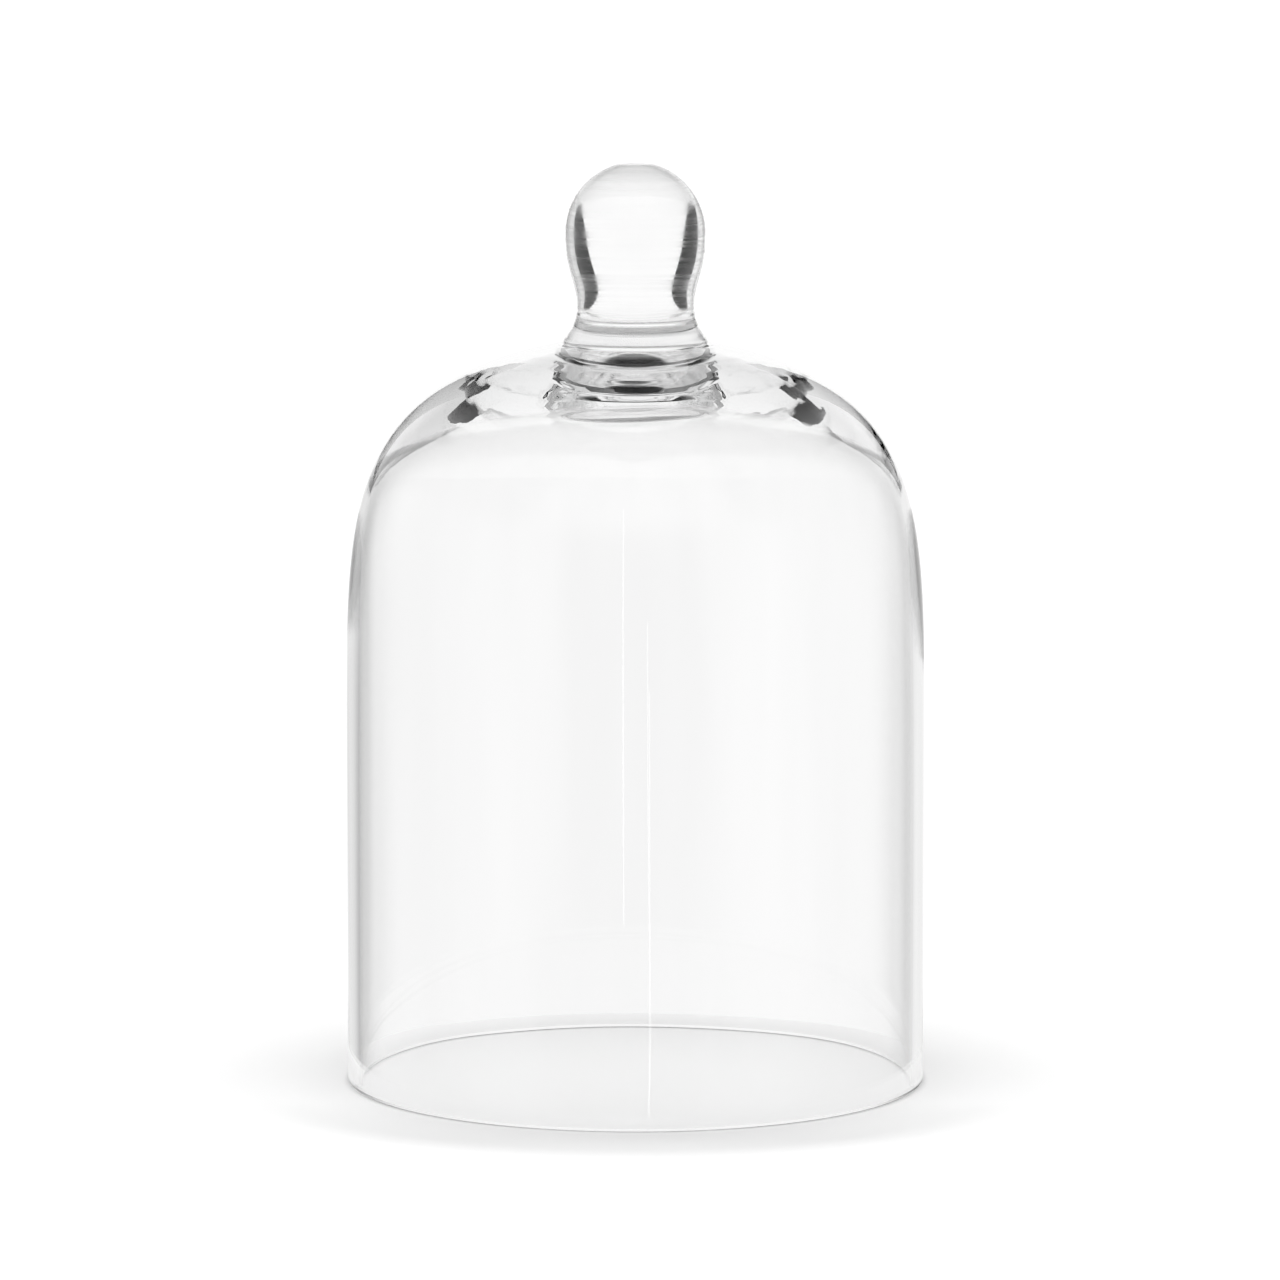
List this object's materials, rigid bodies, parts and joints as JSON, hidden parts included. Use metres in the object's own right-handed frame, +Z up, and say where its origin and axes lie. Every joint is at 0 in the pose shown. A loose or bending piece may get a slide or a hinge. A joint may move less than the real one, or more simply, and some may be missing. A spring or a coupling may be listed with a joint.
{
  "type": "bell jar dome",
  "caption": "Clear blown-glass bell jar dome: straight-walled bell with a rounded shoulder, thick crown, open mouth and a solid waisted ball knob on top.",
  "frame": {"origin": "centre of the mouth, in the plane of the rim that the dome stands on", "axes": "+Z up along the dome's axis, from the mouth to the knob; X and Y are any two horizontal directions, because the dome is round"},
  "size_m": [0.13, 0.13, 0.2062],
  "materials": {
    "bell_glass": "clear, fire-polished",
    "knob_glass": "clear, fire-polished"
  },
  "bodies": {
    "root": {"dome_shell": "bell_glass", "knob": "knob_glass"}
  },
  "joints": []
}
